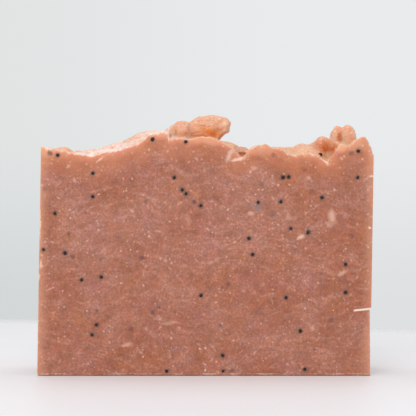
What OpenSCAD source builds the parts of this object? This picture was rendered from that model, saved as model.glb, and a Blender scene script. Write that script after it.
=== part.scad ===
// Bar of hand-made soap with poppy seeds, sliced by a wire from a loaf.
//
// The loaf was poured into a straight-sided mould, and its top was whisked
// into ridges and curls while it set. Two wire cuts then freed the bar. It
// stands on its moulded base: X runs across the cut face, Y through the bar
// from the front cut to the back cut, and Z up. The origin is the middle of
// the base. Lengths are in millimetres.

/* [Bar] */
// Width across the cut face, which is the width of the loaf mould
bar_w = 89; // [70:1:110]
// Thickness of the slice between the two wire cuts
bar_d = 25; // [20:0.5:35]
// Height of the loaf's level, which the whisked top rises and dips from
bar_h = 60; // [45:1:80]
// How far the sides lean to the right over that height
lean = 1; // [0:0.1:3]
// Worn chamfer along the two long edges of the base
base_chamfer = 0.4; // [0.2:0.05:1]

/* [Whisked top] */
// How strongly the ridges stand up, where 1 is the real bar
relief = 1; // [0.5:0.05:1.2]
// How far the main ridge lies behind the front cut, as a share of the thickness
ridge_at = 0.38; // [0.3:0.02:0.5]
// Height of the small lumps over the creases between them
lump_h = 1.8; // [0:0.1:2.5]
// Distance from one crease to the next
lump_pitch = 4; // [3:0.1:8]

/* [Corner crack] */
// Height of the crack in the right front corner
crack_z = 18; // [8:0.5:35]
// Length of the crack along the front cut
crack_len = 4.6; // [2:0.1:8]
// Length of the crack along the right side
crack_back = 9; // [4:0.5:15]
// Opening of the crack at the corner
crack_gap = 0.35; // [0.2:0.05:0.8]
// How far the side has slumped in below the crack
crack_step = 0.4; // [0.1:0.05:1]

/* [Poppy seeds] */
// Diameter of a poppy seed
seed_d = 1.25; // [0.8:0.05:1.4]
// How far a seed stands out of the surface it lies in
seed_proud = 0.3; // [0.1:0.02:0.4]
// Number of seeds that show in the back cut
back_seeds = 26; // [0:1:40]
// Number of seeds that show in each side
side_seeds = 5; // [0:1:8]

/* [Hidden] */

// Grid of the whisked surface, and how far it runs past the cuts before it is trimmed
COLS = 108;
ROWS = 30;
MARGIN = 1;

// Height that every upper edge lies under, and a depth that lies under the base
SKY = bar_h + 20;
UNDER = -1;

// Upper edge of the front cut: share of the width, rise above bar_h
FRONT_EDGE = [
    [0, 1.4], [0.02, 0.7], [0.07, 0.2], [0.095, -0.5], [0.13, -0.8], [0.155, -1.4],
    [0.175, -0.6], [0.23, 0.3], [0.268, 1.2], [0.305, 2.6], [0.32, 4.1], [0.335, 4.9],
    [0.37, 5.1], [0.38, 4.5], [0.389, 3.0], [0.397, 3.4], [0.43, 3.7], [0.446, 3.2],
    [0.484, 4.1], [0.51, 3.9], [0.54, 3.0], [0.572, 1.1], [0.59, -0.6], [0.598, -1.6],
    [0.608, -1.5], [0.618, -0.2], [0.628, 0.9], [0.645, 1.8], [0.675, 2.1], [0.694, 1.0],
    [0.73, 0.3], [0.75, -0.9], [0.817, -0.5], [0.831, -1.3], [0.85, -2.0], [0.858, -3.0],
    [0.868, -1.3], [0.883, -0.4], [0.891, 2.0], [0.903, 2.2], [0.922, 1.1], [0.932, 2.2],
    [0.947, 3.3], [0.97, 4.1], [0.981, 3.2], [0.991, 1.2], [1, -1.5]
];

// Line of the main ridge behind it, which makes the skyline
RIDGE = [
    [0, 1.2], [0.03, 2.0], [0.065, 2.0], [0.085, 0.3], [0.12, 0.5], [0.145, 1.8],
    [0.165, 1.9], [0.21, 3.0], [0.24, 3.5], [0.262, 4.5], [0.285, 5.9], [0.325, 6.9],
    [0.36, 6.8], [0.38, 6.2], [0.4, 5.6], [0.43, 5.2], [0.47, 4.8],
    [0.5, 4.4], [0.53, 3.8], [0.555, 3.5], [0.578, 3.0], [0.6, 1.8], [0.622, -0.7],
    [0.66, 0.4], [0.7, 2.0], [0.72, 2.3], [0.745, 2.2], [0.765, 2.4], [0.79, 3.2],
    [0.815, 2.6], [0.832, 3.6], [0.843, 4.8], [0.853, 5.2], [0.87, 4.4], [0.9, 3.6],
    [0.93, 3.4], [0.955, 3.4], [0.975, 3.0], [1, 0]
];

// Upper edge of the back cut
BACK_EDGE = [
    [0, 0.3], [0.06, -0.6], [0.11, 0.4], [0.17, 0.9], [0.2, 0.2], [0.27, 2.2], [0.32, 3.4],
    [0.36, 2.6], [0.4, 3.6], [0.46, 3.9], [0.52, 2.1], [0.57, 0.7], [0.6, -0.9], [0.65, 0.2],
    [0.71, 1.0], [0.76, -0.6], [0.82, 0.5], [0.86, 2.0], [0.91, 1.1], [0.95, 1.8], [1, -0.8]
];

// Single swellings and hollows: share of the width, share of the thickness, radius, rise
SWELLS = [
    [0.13, 0.64, 4, 1.2], [0.2, 0.76, 3.5, -1.6], [0.31, 0.72, 5, 1.4], [0.5, 0.18, 4.2, -1.3],
    [0.52, 0.68, 4, -2.2], [0.62, 0.2, 2.6, -1.6], [0.66, 0.56, 5, 1.6], [0.78, 0.76, 4, 1.3],
    [0.8, 0.16, 3, 0.9], [0.872, 0.15, 3.4, -3.8], [0.9, 0.62, 3.6, -1.8],
    [0.945, 0.24, 3, -1.2], [0.95, 0.8, 3, 1.1], [0.42, 0.88, 3, -1.5], [0.04, 0.84, 3.5, 0.9]
];

// Curls, each drawn up along a crest: where it starts, as a share of the width and as a
// share of the thickness behind the main ridge, then foot above bar_h, length, height,
// overhang as a share of the height, heading of the crest at start and end, fall of the
// foot at start and end, how hollow it is under the lip, and whether its end hangs free
CURLS = [
    [0.37, 0.05, 3.6, 8, 6.6, 0.8, 12, -14, 1.2, 0.6, 0.1, 0],
    [0.42, 0.06, 4.0, 14, 7, 0.75, 8, -16, 0.7, -0.1, 0.25, 0.8],
    [0.838, 0.04, -0.8, 4.6, 5.2, 0.7, 10, -30, 0.4, 0.4, 0, 0],
    [0.885, 0.07, -0.6, 4.4, 9, 0.55, -16, -30, 0.4, 0.2, 0.2, 0],
    [0.91, 0.04, -0.2, 4.8, 9.2, 0.55, 16, 4, 0.2, 0.6, 0.1, 0],
    [0.885, -0.18, -1.6, 4.8, 4.2, 0.5, 20, -20, 0.4, 0.6, 0, 0],
    [0.944, -0.04, -1.2, 5.8, 5.8, 0.7, 10, -20, 0.2, 1.2, 0, 0],
    [0.24, 0.4, -1.6, 16, 4.6, 1.1, 160, 205, 1.6, 1.2, 0.2, 0],
    [0.46, 0.32, 0.4, 15, 4.8, 1.2, 205, 130, 1.6, 0.6, 0.2, 0],
    [0.55, 0.2, -2.2, 12, 4.4, 1.1, 0, 60, 1.4, 1.0, 0.3, 0],
    [0.86, 0.4, -1.8, 15, 4.8, 1.1, 195, 155, 1.4, 1.0, 0.2, 0],
    [0.586, -0.24, -1.2, 4.4, 3.0, 0.8, -8, -26, 0.1, 0.8, 1, 0],
    [0.64, -0.02, -1.4, 11, 3.8, 1.0, 10, -18, 1.2, 1.0, 0, 0],
    [0.05, 0.12, -2.0, 11, 3.8, 1.1, -16, 26, 1.2, 1.0, 0, 0]
];

// Section of a curl in shares of its height: forward and up, from the foot's back over
// the top, first with a hollow under the lip and then without
HOOK = [
    [-0.55, -0.45], [-0.58, 0.1], [-0.5, 0.52], [-0.26, 0.86], [0.1, 1], [0.48, 0.93],
    [0.76, 0.68], [0.8, 0.47], [0.62, 0.37], [0.38, 0.46], [0.16, 0.38], [0.08, 0.1],
    [0.2, -0.45]
];
ROLL = [
    [-0.55, -0.45], [-0.58, 0.1], [-0.5, 0.52], [-0.26, 0.86], [0.1, 1], [0.46, 0.9],
    [0.68, 0.68], [0.76, 0.46], [0.78, 0.28], [0.76, 0.1], [0.72, -0.08], [0.66, -0.26],
    [0.58, -0.45]
];
// Distance between the sections of a curl
CURL_STEP = 1.2;

// The rim of a cut keeps its level for RIM and gains its lumps over SOFT
RIM = 0.8;
SOFT = 3.5;
// How far the main ridge wanders forward and back, and how far lumps spare it
WANDER = 1.6;
SPARED = 2.5;

// Seeds in the front cut, as shares of its width and of bar_h
FRONT_SEEDS = [
    [0.051, 0.983], [0.335, 1.053], [0.435, 1.045], [0.157, 0.902], [0.158, 0.798],
    [0.402, 0.883], [0.426, 0.829], [0.438, 0.812], [0.483, 0.758], [0.046, 0.723],
    [0.013, 0.562], [0.078, 0.547], [0.129, 0.428], [0.188, 0.441], [0.488, 0.359],
    [0.176, 0.228], [0.163, 0.183], [0.389, 0.022], [0.953, 1.001], [0.952, 0.883],
    [0.728, 0.884], [0.746, 0.886], [0.655, 0.773], [0.723, 0.776], [0.846, 0.794],
    [0.754, 0.656], [0.805, 0.638], [0.629, 0.613], [0.641, 0.541], [0.920, 0.497],
    [0.744, 0.348], [0.922, 0.371], [0.788, 0.2], [0.556, 0.091], [0.559, 0.022],
    [0.803, 0.03]
];

// Seeds in the whisked top: share of the width, share of the thickness
TOP_SEEDS = [
    [0.08, 0.72], [0.22, 0.8], [0.33, 0.62], [0.5, 0.9], [0.622, 0.22],
    [0.66, 0.88], [0.74, 0.66], [0.843, 0.13], [0.96, 0.68]
];

function ease(t) = let(s = min(1, max(0, t))) s * s * (3 - 2 * s);
function mix(a, b, t) = a + (b - a) * t;
function part_of(x) = x - floor(x);

// Left and right side of the cut face at a height
function left_x(z) = -bar_w / 2 + lean * (z / bar_h - 0.5);
function right_x(z) = left_x(z) + bar_w;

// Smooth noise from 0 to 1, with one new value at each whole number
function grain(i, j) = part_of(437.5453 * sin(127.1 * i + 311.7 * j));
function noise(x, y) =
    let(i = floor(x), j = floor(y), a = ease(x - i), b = ease(y - j))
    mix(mix(grain(i, j), grain(i + 1, j), a), mix(grain(i, j + 1), grain(i + 1, j + 1), a), b);

// Round lumps with creases between them, from -0.5 in a crease to 0.5 on a lump
function lumps(x, y) = let(a = sqrt(pow(2 * noise(x, y) - 1, 2) + 0.05)) a * (2 - a) - 0.7;

function swell(p, s) =
    let(r = norm([(p[0] - s[0]) * bar_w, p[1] - s[1] * bar_d]) / s[2])
    r < 1 ? s[3] * (1 - ease(r)) : 0;
function total(list, i = 0) = i < len(list) ? list[i] + total(list, i + 1) : 0;

// Height of the whisked top at a share of the width and a distance behind the front cut:
// the upper edge of the front cut runs into the main ridge, and that into the back cut
function top_z(u, back) =
    let(
        ridge = ridge_at * bar_d + WANDER * sin(u * 1100),
        near = ease((back - RIM) / (ridge - RIM)),
        far = ease((back - ridge) / (bar_d - ridge)),
        drift = 0.03 * far * (1 - far) * sin(u * 1700 + 40),
        rise = back < ridge
            ? mix(lookup(u, FRONT_EDGE), lookup(u, RIDGE), near)
            : mix(lookup(u + drift, RIDGE), lookup(u + drift, BACK_EDGE), far),
        swells = total([for (s = SWELLS) swell([u, back], s)]),
        calm = ease(back / SOFT) * (1 - 0.75 * exp(-pow((back - ridge) / SPARED, 2))),
        x = (u * bar_w + 1.4 * sin(back * 31)) / lump_pitch,
        y = (back + 1.2 * sin(u * bar_w * 23)) / lump_pitch,
        large = lumps(0.6 * x + 0.5 * y + 3, 1.1 * y - 0.45 * x + 9),
        small = 0.4 * lumps(2.1 * x, 2.3 * y)
    )
    bar_h + relief * (rise + swells + lump_h * (large + small) * calm);

// Faces of a grid of points given row by row, each cell split along its flatter diagonal
function grid_faces(p, rows, cols) = [
    for (j = [0 : rows - 2], i = [0 : cols - 2])
        let(a = j * cols + i, b = a + 1, c = a + cols, d = c + 1)
        each abs(p[a][2] - p[d][2]) < abs(p[b][2] - p[c][2])
            ? [[a, c, d], [a, d, b]]
            : [[a, c, b], [b, c, d]]
];

// Outline of the cut: leaning sides, and the slump below the crack
module cut_face() {
    polygon([
        [left_x(0), 0],
        [right_x(0), 0],
        [right_x(crack_z) - crack_step, crack_z - crack_gap / 2],
        [right_x(crack_z), crack_z],
        [right_x(SKY), SKY],
        [left_x(SKY), SKY]
    ]);
}

// Section through the bar: straight cuts, and the chamfered base
module slice_section() {
    half = bar_d / 2;
    polygon([
        [-half + base_chamfer, 0],
        [half - base_chamfer, 0],
        [half, base_chamfer],
        [half, SKY],
        [-half, SKY],
        [-half, base_chamfer]
    ]);
}

// The space between the mould's sides and the two wire cuts
module slice() {
    intersection() {
        rotate([90, 0, 0])
            linear_extrude(bar_d, center = true)
                cut_face();
        rotate([90, 0, 90])
            linear_extrude(2 * bar_w, center = true)
                slice_section();
    }
}

// The loaf under its whisked surface, a little larger than the slice all round
module loaf() {
    width = bar_w + lean + 2 * MARGIN;
    depth = bar_d + 2 * MARGIN;
    top = [
        for (j = [0 : ROWS], i = [0 : COLS])
            let(
                x = width * (i / COLS - 0.5),
                y = depth * (j / ROWS - 0.5),
                u = (x - left_x(bar_h)) / bar_w
            )
            [x, y, top_z(min(1, max(0, u)), min(bar_d, max(0, y + bar_d / 2)))]
    ];
    rim = concat(
        [for (i = [0 : COLS - 1]) i],
        [for (j = [0 : ROWS - 1]) j * (COLS + 1) + COLS],
        [for (i = [COLS : -1 : 1]) ROWS * (COLS + 1) + i],
        [for (j = [ROWS : -1 : 1]) j * (COLS + 1)]
    );
    n = len(rim);
    first = len(top);
    foot = [for (k = rim) [top[k][0], top[k][1], UNDER]];
    walls = [
        for (k = [0 : n - 1])
            let(next = (k + 1) % n)
            each [
                [rim[k], rim[next], first + k],
                [rim[next], first + next, first + k],
                [first + k, first + next, first + n]
            ]
    ];
    polyhedron(
        points = concat(top, foot, [[0, 0, UNDER]]),
        faces = concat(grid_faces(top, ROWS + 1, COLS + 1), walls)
    );
}

// One lip of soap that was drawn up and folded over: its section, swept along its crest
module curl(c) {
    foot = bar_h + relief * c[2];
    start = [left_x(foot) + c[0] * bar_w, bar_d * (ridge_at + c[1] - 0.5), foot];
    height = relief * c[4];
    rings = max(6, ceil(c[3] / CURL_STEP));
    step = c[3] / rings;
    section = [for (i = [0 : len(HOOK) - 1]) mix(ROLL[i], HOOK[i], c[10])];
    n = len(section);
    centre = [0.1, 0.5];
    function heading(t) = mix(c[6], c[7], t);
    function run(t) = [cos(heading(t)), sin(heading(t)), 0];
    function out(t) = [sin(heading(t)), -cos(heading(t)), 0];
    crest = [for (k = 0, p = start; k <= rings; k = k + 1, p = p + step * run(k / rings)) p];
    function taper(t) = mix(0.55, 1, ease(2.4 * t)) * sqrt(1 - pow(t, 7));
    function fall(t) = c[8] * pow(1 - t, 2) + c[9] * t * t;
    function free(t) = 0.9 * c[11] * ease((t - 0.55) / 0.25);
    function drawn_in(p, t) = [p[0], p[1] + free(t) * max(0, 0.4 - p[1])];
    function middle(t) = centre + [0, 0.25 * free(t)];
    function at(k, p) =
        let(
            t = k / rings,
            bulge = 0.72 + 0.34 * noise(c[0] * 90 + c[3] * t / 2.6, 2.6 * p[0] + 1.7 * p[1] + 5)
                + 0.26 * noise(c[0] * 50 + c[3] * t / 1.5, 4.4 * p[0] - 3.1 * p[1] + 9),
            q = middle(t) + (drawn_in(p, t) - middle(t)) * taper(t) * bulge
        )
        crest[k] + height * c[5] * q[0] * out(t) + [0, 0, height * q[1] - fall(t)];
    points = concat(
        [for (k = [0 : rings - 1], p = section) at(k, p)],
        [at(0, centre), at(rings, centre)]
    );
    sides = [
        for (k = [0 : rings - 2], m = [0 : n - 1])
            let(a = k * n + m, b = k * n + (m + 1) % n)
            each [[a, a + n, b], [b, a + n, b + n]]
    ];
    ends = [
        for (m = [0 : n - 1])
            let(next = (m + 1) % n, last = (rings - 1) * n)
            each [[rings * n, m, next], [rings * n + 1, last + next, last + m]]
    ];
    polyhedron(points = points, faces = concat(sides, ends));
}

// Wedge that splits the right front corner and runs out along both faces, falling a
// little towards its tip in the front cut
module crack() {
    x = right_x(crack_z);
    front = -bar_d / 2;
    clear = 0.5;
    drop = crack_len / 9;
    mouth = crack_gap / 2 + clear / 10;
    polyhedron(
        points = [
            [x + clear, front - clear, crack_z + mouth],
            [x + clear, front - clear, crack_z - mouth],
            [x - crack_len, front - clear / 4, crack_z - drop],
            [x + clear / 4, front + crack_back, crack_z]
        ],
        faces = [[0, 1, 2], [0, 3, 1], [0, 2, 3], [1, 3, 2]]
    );
}

// Even scatter of n places, as shares from 0 to 1 both ways
function scatter(n, seed) = [
    for (k = [1 : 1 : n]) [part_of(seed + k * 0.7549), part_of(2 * seed + k * 0.5698)]
];

// Middle of every seed, a little inside the surface that it shows in
sink = seed_d / 2 - seed_proud;
seed_places = concat(
    [
        for (s = FRONT_SEEDS)
            let(
                rim_z = bar_h + relief * lookup(s[0], FRONT_EDGE),
                z = min(s[1] * bar_h, rim_z - 0.8 * seed_d)
            )
            [left_x(z) + s[0] * bar_w, -bar_d / 2 + sink, z]
    ],
    [
        for (s = scatter(back_seeds, 0.31))
            let(z = mix(0.04, 0.93, s[1]) * bar_h)
            [left_x(z) + mix(0.04, 0.96, s[0]) * bar_w, bar_d / 2 - sink, z]
    ],
    [
        for (s = scatter(side_seeds, 0.47))
            let(z = mix(0.06, 0.92, s[1]) * bar_h)
            [left_x(z) + sink, bar_d * mix(-0.4, 0.4, s[0]), z]
    ],
    [
        for (s = scatter(side_seeds, 0.83))
            let(z = mix(0.4, 0.92, s[1]) * bar_h)
            [right_x(z) - sink, bar_d * mix(-0.4, 0.4, s[0]), z]
    ],
    [
        for (s = TOP_SEEDS)
            let(z = top_z(s[0], s[1] * bar_d))
            [left_x(z) + s[0] * bar_w, bar_d * (s[1] - 0.5), z - sink]
    ]
);

// Each seed is turned so that its own seam faces the middle of the bar
module seeds() {
    for (p = seed_places)
        translate(p)
            rotate(p[0] > 0 ? 180 : 0)
                sphere(d = seed_d, $fn = 24);
}

module soap_bar() {
    color("#b87866")
        difference() {
            intersection() {
                slice();
                union() {
                    loaf();
                    for (c = CURLS)
                        curl(c);
                }
            }
            seeds();
            crack();
        }
}

module poppy_seeds() {
    color("#1d1f26")
        seeds();
}

soap_bar();
poppy_seeds();
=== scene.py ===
"""Looks of an upright slab of hand-made soap with poppy seeds, cut by a wire from a whisked loaf.

The bar stands with its front cut towards -Y. Everything is in metres, in the frame of the
CAD part. Lengths that a maker would measure are written in millimetres and turned by MM.
"""

import math

import bmesh
import bpy
import numpy as np
from mathutils import Matrix, Vector
from mathutils.bvhtree import BVHTree
from mathutils.kdtree import KDTree


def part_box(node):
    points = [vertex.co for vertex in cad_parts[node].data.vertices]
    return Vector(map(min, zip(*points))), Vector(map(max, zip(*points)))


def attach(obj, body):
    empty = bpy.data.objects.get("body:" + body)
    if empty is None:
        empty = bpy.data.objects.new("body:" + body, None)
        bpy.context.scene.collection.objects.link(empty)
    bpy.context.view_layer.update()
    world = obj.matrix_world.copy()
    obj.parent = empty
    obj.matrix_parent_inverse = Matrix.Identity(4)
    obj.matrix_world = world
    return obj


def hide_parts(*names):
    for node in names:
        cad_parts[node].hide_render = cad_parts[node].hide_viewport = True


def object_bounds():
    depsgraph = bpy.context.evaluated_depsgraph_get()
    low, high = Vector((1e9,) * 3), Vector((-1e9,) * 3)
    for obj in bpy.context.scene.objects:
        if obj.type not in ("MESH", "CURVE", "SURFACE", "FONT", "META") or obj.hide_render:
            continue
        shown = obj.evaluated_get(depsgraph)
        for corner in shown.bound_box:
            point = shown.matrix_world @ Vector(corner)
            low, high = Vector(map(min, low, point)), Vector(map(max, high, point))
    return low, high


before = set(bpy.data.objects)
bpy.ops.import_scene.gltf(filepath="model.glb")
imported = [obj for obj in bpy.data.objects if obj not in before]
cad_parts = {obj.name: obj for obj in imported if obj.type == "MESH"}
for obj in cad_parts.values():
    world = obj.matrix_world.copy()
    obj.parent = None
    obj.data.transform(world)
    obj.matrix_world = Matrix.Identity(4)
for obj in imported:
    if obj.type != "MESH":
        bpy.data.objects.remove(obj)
cad_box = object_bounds()

MM = 0.001

# The photograph: its size in pixels, the width that it shows at the front cut, and where
# the lens stood, level with the middle of the bar
PHOTO_PX = 416
MM_PER_PX = 0.267
MIDDLE_COLUMN = 205.5
BASE_ROW = 376
LENS_HEIGHT = 33
LENS_DISTANCE = 290
SENSOR = 36

# The bar: its cut face leans to the right by LEAN for each millimetre of height
BAR_LOW, BAR_HIGH = (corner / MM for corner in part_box("soap_bar"))
BAR_WIDTH = 89
LEAN = 1 / 60
FOOT_LEFT = BAR_LOW.x

# Edge of the cells that the soap is rebuilt in, and how many triangles it may have
CELL = 0.28
SOAP_TRIANGLES = 190000

# The whisked top: nothing under TOP_STARTS belongs to it, and over CREST_STARTS all that
# lies between the cuts and sides does, the soap round a seed too
TOP_STARTS = 52
CREST_STARTS = 58
# How far inside its sides a point counts as whisked top, not as cut face or mould, and the
# band inside that which counts as its rim
INSIDE = 0.3
RIM_BAND = 0.35
# Over how many millimetres from the rim inwards the smoothing and the roughness set in,
# and how far the chips reach from it
SMOOTH_IN = 1.2
ROUGH_IN = 1.0
CHIPS_REACH = 1.6
# Heights between which the curls stand clear of the bar, and how much roughness they lose
CURLS_FROM, CURLS_CLEAR = 61, 64
CURLS_CALM = 0.6

# Rays that feel how shut in a point of the top is: their number, the turn from one to the
# next in radians, how far off the surface they start and how far they reach
RAYS = 14
RAY_TURN = 2.4
RAY_LIFT = 0.15
RAY_REACH = 7

# The painted shade in the soap round a seed: where it starts to fade, counted from the seed's
# middle, how wide the fade is, and how dark the shade
RING_FROM = 0.55
RING_FADE = 0.5
RING_DARK = 0.6

# The crack at the right front corner: its height there, its length and how it falls inwards
CRACK_HEIGHT = 18
CRACK_LENGTH = 5
CRACK_FALL = 1 / 9

# Seeds that lie just under the front cut and show as soft blots: across, up, radius,
# strength
BURIED_SEEDS = [
    (-41.5, 59.5, 0.8, 0.7), (-3, 46.5, 0.7, 0.7), (-16, 46.5, 0.6, 0.5), (-43, 50, 0.6, 0.4),
    (-36.5, 38, 0.7, 0.6), (-35.5, 32, 0.7, 0.5), (-28, 31, 0.6, 0.5), (-17, 31.5, 0.7, 0.6),
    (-12.5, 18.5, 0.6, 0.6), (-14, 17, 0.7, 0.6), (-29, 17.5, 0.6, 0.5), (-37.5, 18, 0.6, 0.4),
    (-26, 16, 0.6, 0.4), (-20, 12.5, 0.6, 0.5), (-3.5, 27, 0.6, 0.4), (39, 59.5, 0.8, 0.6),
    (26.5, 55, 0.7, 0.3), (15, 51, 0.9, 0.4), (6, 51.5, 0.6, 0.4), (18, 59, 0.6, 0.4),
    (27.5, 38.5, 0.7, 0.7), (18, 43.5, 0.9, 0.3), (25, 42, 0.7, 0.3), (39, 37.5, 0.8, 0.3),
    (6, 24.5, 0.6, 0.5), (37.5, 22.5, 0.6, 0.4), (37, 26.5, 0.6, 0.4), (33.5, 15, 0.7, 0.5),
    (4, 13.5, 0.6, 0.5), (29, 7, 0.6, 0.5), (7, 1.5, 0.6, 0.5), (31, 25.5, 0.6, 0.3)
]
# Other soft ovals in the front cut: across, up, half length, half height, turn in degrees,
# strength. First the grey-mauve smudge round one buried seed
SMUDGES = [(14.2, 45, 1.5, 1.1, 0, 0.65), (12, 45.8, 1, 0.7, 0, 0.35), (18, 43.6, 1.4, 0.8, 0, 0.2)]
# Pale lumps of soap that traced early
PALE_LUMPS = [
    (33.8, 42.6, 1.1, 2.1, 10, 0.7), (33, 40.4, 1, 0.9, 0, 0.4), (25.5, 37.1, 1.2, 0.6, 5, 0.9),
    (12.2, 43.3, 0.8, 0.6, 0, 0.6), (13, 55.5, 0.9, 0.6, 0, 0.5), (27.6, 52.8, 0.6, 0.5, 0, 0.5),
    (-21, 8.4, 1.6, 0.6, 15, 0.5), (-10, 14, 2.4, 0.5, 8, 0.35), (22, 42.5, 0.7, 1.1, 0, 0.35),
    (-36.5, 56, 0.6, 0.5, 0, 0.5), (-35, 52.4, 0.5, 0.6, 0, 0.5), (-19.5, 44, 0.6, 0.5, 0, 0.4),
    (36.5, 27.5, 1.6, 0.5, 30, 0.5)
]
# Spots where oil has drawn together
AMBER_SPOTS = [
    (26.2, 49.6, 1.2, 0.9, 0, 0.5), (27.6, 47.8, 0.8, 0.8, 0, 0.3), (35.5, 38, 3, 2.4, 0, 0.2)
]
# Crests of the front edge that are thin enough to let light through
THIN_CRESTS = [
    (39, 63.2, 5, 2.6, -20, 0.65), (36.2, 61.2, 1.4, 1.6, 0, 0.95), (-12.2, 65.2, 4.6, 1.9, 8, 0.7),
    (0.5, 63.2, 8, 1.6, -5, 0.6), (14, 61, 4.6, 2.2, 0, 0.6), (27.5, 59.6, 5, 1.2, 0, 0.3),
    (-41.8, 60.6, 4.6, 2, 0, 0.6)
]
# Folds and creases of the whisked top, seen from in front, under the painted colour of each:
# amber for light coming out of them and for the shade deep in them and under the big curl,
# a duller brown for the shade in the recess of the flap, and pale at the end of the big curl
FOLD_GLOW_AND_SHADE = {
    "#BE6422": [
        (33.2, 61.4, 4, 2.3, -15, 1), (36.6, 64.4, 0.8, 2.2, 0, 0.9),
        (0, 67.6, 2.6, 0.25, -4, 0.6), (-9.6, 64.8, 0.35, 1.1, 0, 0.8), (-8.2, 66.2, 0.25, 1.2, 8, 0.5),
        (-5.4, 65.4, 0.7, 0.5, 20, 0.6), (-2.6, 66, 1.8, 0.25, 12, 0.5), (2.4, 69, 2.4, 0.2, -8, 0.4),
        (-1.6, 65, 3.2, 0.3, 0, 0.4), (-15.4, 62.6, 1.6, 0.3, 32, 0.5), (-20.5, 60.4, 2, 0.25, 25, 0.35)
    ],
    "#E49C5C": [(1.6, 65.8, 4.6, 1.2, -20, 1)],
    "#D8843E": [(2.6, 65.2, 2.8, 0.6, -20, 0.8)],
    "#B98F76": [(9.6, 60.8, 2.4, 1.5, -10, 0.85), (34.5, 59.4, 2.6, 1, 0, 0.6)],
    "#F0CBB0": [(5.8, 67, 1.4, 2.2, 0, 0.8), (4.6, 64.4, 1.6, 0.6, -20, 0.5)]
}
# Pale chips along the two upright edges of the cut
EDGE_CHIPS = [
    (-44.3, 42, 0.35, 5.5, 1, 0.6), (-44.6, 26.4, 0.5, 0.9, 0, 0.6), (-44, 29.8, 0.4, 1.3, 0, 0.5),
    (43.9, 39.5, 0.4, 0.4, 0, 0.9), (44.4, 53.3, 0.8, 0.25, 0, 0.7)
]
# Streaks of torn, whitened soap beside the folds of the top, as seen from in front
TORN_STREAKS = [
    (6.4, 58.9, 0.7, 2.1, -25, 0.5), (8.6, 57.9, 2, 0.5, 12, 0.7), (23, 59.6, 1.7, 0.45, -35, 0.6),
    (29, 60, 0.6, 1.3, -20, 0.6), (31.8, 57.6, 1.7, 0.4, -48, 0.8), (-9.7, 63.6, 0.3, 1.2, 0, 0.6),
    (-24, 60.6, 3, 0.3, 33, 0.35), (-28.2, 57.8, 1.5, 0.3, 42, 0.5), (9.6, 61.2, 2.2, 0.35, -42, 0.7),
    (31.5, 59.4, 1.4, 0.5, -20, 0.5)
]
# Where the top carries a bed of ash, as seen from in front
ASH_BEDS = [(-28, 59.5, 14, 3.5, 15, 1), (-14, 64.5, 7, 3, 20, 0.8), (-43, 59, 4, 3, 0, 0.8)]
# Grains of pale soap: width of the cell that each lies in, share of the cells that hold a
# grain, radius, strength
GRAINS = [(2.6, 0.35, 0.5, 0.6), (1.5, 0.4, 0.34, 0.95), (0.95, 0.4, 0.24, 0.95)]
# Broad clouds in the paste, under the colour that each leans to, and along the foot one oval of painted
# shade
CLOUDS_AND_FOOT_SHADE = {
    "#A05A3D": [
        (-14.8, 54.5, 18, 3, 16, 0.45), (-30, 46.2, 2.6, 5.5, 0, 0.45), (6, 31.5, 2.2, 1.8, 0, 0.4),
        (7.6, 26.7, 2.4, 2, 0, 0.4), (15.4, 25.4, 2.4, 1.8, 0, 0.4), (28.7, 23, 6, 2, 35, 0.5),
        (37.8, 16.3, 4, 4, 0, 0.4), (38, 7, 7, 5, 0, 0.25), (-38.6, 9, 3.6, 5, 0, 0.3),
        (-13.2, 3.5, 7, 2, 0, 0.4), (28, 55, 16, 4, 0, 0.4), (-2.8, 19, 3, 1.2, 45, 0.3),
        # The long oval across 12, up 2 is painted shade along the foot, not a cloud
        (-41, 32, 2.4, 11, 0, 0.3), (12, 2, 30, 2.2, 0, 0.3), (-24, 33, 3, 6, 20, 0.25),
        (-24, 50, 11, 6, 12, 0.4), (39, 24, 5, 14, 0, 0.2)
    ],
    "#BD8876": [
        (-16, 47.5, 11, 3, 16, 0.1), (-7.6, 20.8, 5, 4, 0, 0.4), (14, 44, 9, 6, 20, 0.3),
        (-26.3, 42.7, 1.6, 4, 0, 0.25), (29.8, 17.9, 4, 1.2, 49, 0.35), (8, 38, 14, 3, 10, 0.25)
    ]
}


def linear(code):
    """Linear colour, with alpha, of an sRGB hex code."""
    parts = [int(code[i:i + 2], 16) / 255 for i in (1, 3, 5)]
    return [p / 12.92 if p <= 0.04045 else ((p + 0.055) / 1.055) ** 2.4 for p in parts] + [1]


def add(tree, kind, inputs=None, **settings):
    """Adds a node with its settings, and sets each input or links it to a socket.

    A node given as an input stands for the first of its outputs that is in use.
    """
    node = tree.nodes.new(kind)
    for name, value in settings.items():
        setattr(node, name, value)
    for key, value in (inputs or {}).items():
        if isinstance(value, bpy.types.Node):
            value = next(socket for socket in value.outputs if socket.enabled)
        if isinstance(value, bpy.types.NodeSocket):
            tree.links.new(value, node.inputs[key])
        else:
            node.inputs[key].default_value = value
    return node


def ease(t):
    """Smooth step from 0 to 1 for arrays."""
    t = np.clip(t, 0, 1)
    return t * t * (3 - 2 * t)


# Meshes


def new_object(name, mesh):
    obj = bpy.data.objects.new(name, mesh)
    bpy.context.scene.collection.objects.link(obj)
    return obj


def merged_copy(node, name):
    """A copy of a CAD node's mesh with its loose triangles joined up."""
    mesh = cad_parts[node].data.copy()
    mesh.name = name
    mesh.materials.clear()
    bm = bmesh.new()
    bm.from_mesh(mesh)
    bmesh.ops.remove_doubles(bm, verts=bm.verts, dist=1e-6)
    bm.to_mesh(mesh)
    bm.free()
    return new_object(name, mesh)


def make_plain(obj):
    """Turns what the modifiers show into the object's own mesh, and drops them."""
    shown = obj.evaluated_get(bpy.context.evaluated_depsgraph_get())
    mesh = bpy.data.meshes.new_from_object(shown)
    mesh.name = obj.name
    obj.modifiers.clear()
    obj.data = mesh
    return obj


def places(mesh):
    """The mesh's vertices in millimetres."""
    flat = np.empty(len(mesh.vertices) * 3)
    mesh.vertices.foreach_get("co", flat)
    return flat.reshape(-1, 3) / MM


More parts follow.
